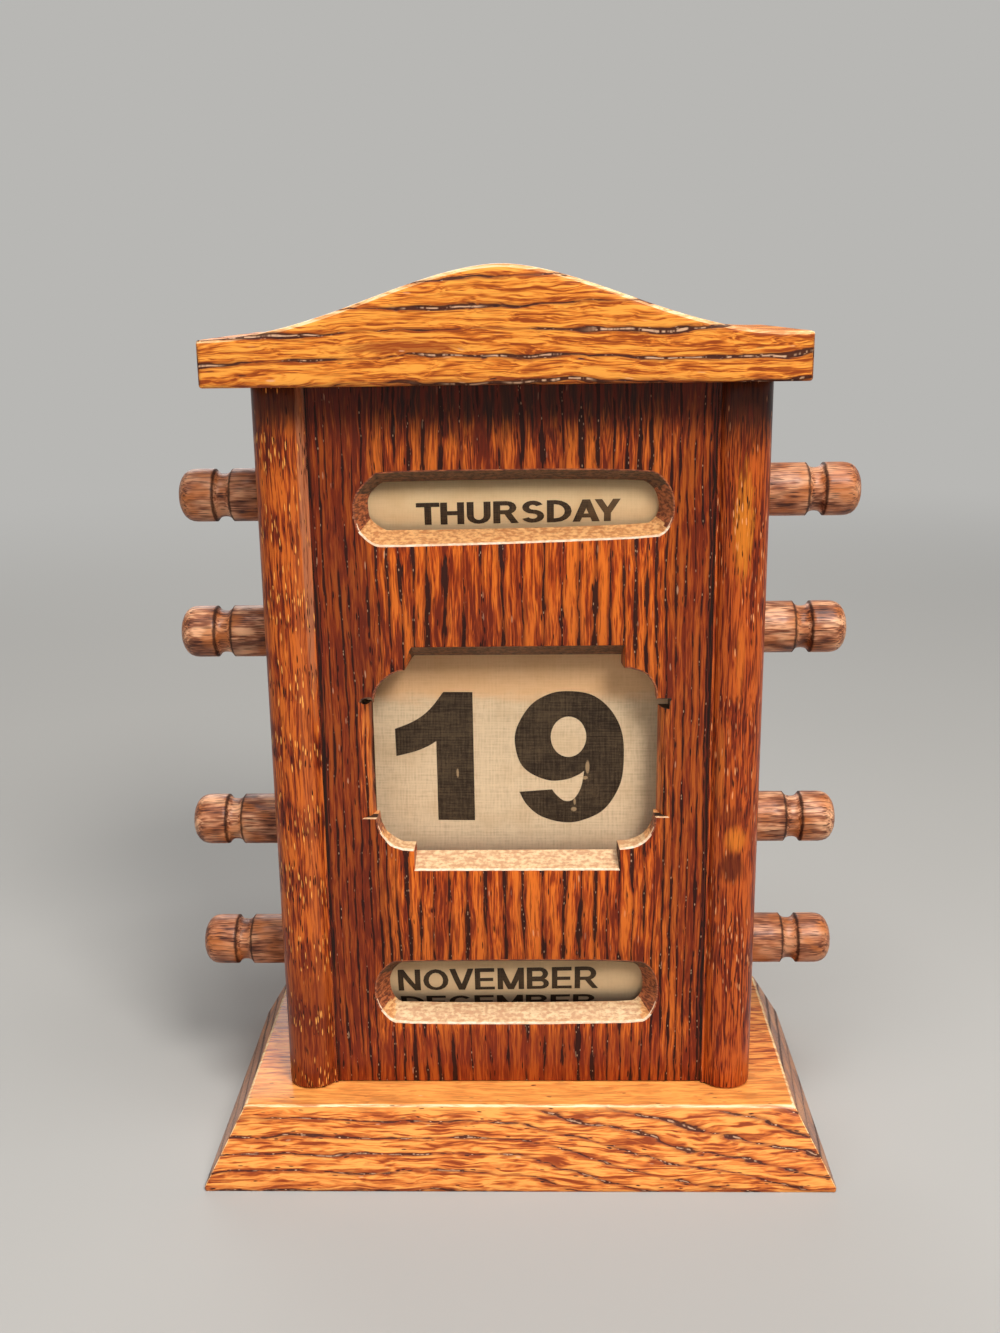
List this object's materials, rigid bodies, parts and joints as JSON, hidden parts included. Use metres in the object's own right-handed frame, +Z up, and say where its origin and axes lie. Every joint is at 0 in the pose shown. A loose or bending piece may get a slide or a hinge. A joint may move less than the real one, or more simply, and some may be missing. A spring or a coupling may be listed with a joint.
{
  "type": "perpetual desk calendar",
  "caption": "Oak desk calendar: a roofed case on a bevelled base, with windows for weekday, date and month that are turned by dowel knobs on both sides.",
  "frame": {"origin": "on the table under the middle of the base; all four dowel axes lie straight above it at y = 0", "axes": "+X to the viewer's right along the dowels, -Y out of the front panel, +Z up"},
  "size_m": [0.165, 0.0848, 0.2148],
  "materials": {
    "golden_oak": "varnished",
    "red_oak": "stained and varnished",
    "knob_wood": "waxed",
    "bare_wood": "bare",
    "linen": "plain woven linen",
    "brass": "dull"
  },
  "bodies": {
    "case": {"base_plinth": "golden_oak", "left_side_board": "red_oak", "right_side_board": "red_oak", "front_panel": "red_oak", "back_panel": "red_oak", "roof_crest": "golden_oak", "date_linen": "linen", "base_screw_front_left": "brass", "base_screw_front_right": "brass", "base_screw_rear_left": "brass", "base_screw_rear_right": "brass", "back_screw_lower_left": "brass", "back_screw_lower_right": "brass", "back_screw_upper_left": "brass", "back_screw_upper_right": "brass", "roof_pin_front_left": "bare_wood", "roof_pin_front_right": "bare_wood", "roof_pin_rear_left": "bare_wood", "roof_pin_rear_right": "bare_wood"},
    "day_reel": {"day_dowel": "knob_wood", "day_drum": "bare_wood", "day_name_band": "linen"},
    "upper_date_roller": {"upper_date_dowel": "knob_wood", "upper_linen_roll": "linen", "upper_left_collar": "bare_wood", "upper_right_collar": "bare_wood"},
    "lower_date_roller": {"lower_date_dowel": "knob_wood", "lower_linen_roll": "linen", "lower_left_collar": "bare_wood", "lower_right_collar": "bare_wood"},
    "month_reel": {"month_dowel": "knob_wood", "month_drum": "bare_wood", "month_name_band": "linen"}
  },
  "joints": [
    {"name": "day_knob_turn", "type": "hinge", "parent": "case", "child": "day_reel", "pos_m": [0, 0, 0.16282], "axis": [1, 0, 0], "continuous": true},
    {"name": "upper_date_knob_turn", "type": "hinge", "parent": "case", "child": "upper_date_roller", "pos_m": [0, 0, 0.12916], "axis": [1, 0, 0], "range_deg": [-2545, 5651]},
    {"name": "lower_date_knob_turn", "type": "hinge", "parent": "case", "child": "lower_date_roller", "pos_m": [0, 0, 0.07976], "axis": [1, 0, 0], "range_deg": [-2938, 6523]},
    {"name": "month_knob_turn", "type": "hinge", "parent": "case", "child": "month_reel", "pos_m": [0, 0, 0.0461], "axis": [1, 0, 0], "continuous": true}
  ],
  "couplings": [
    {"joint": "lower_date_knob_turn", "follows": "upper_date_knob_turn", "ratio": 1.154}
  ]
}
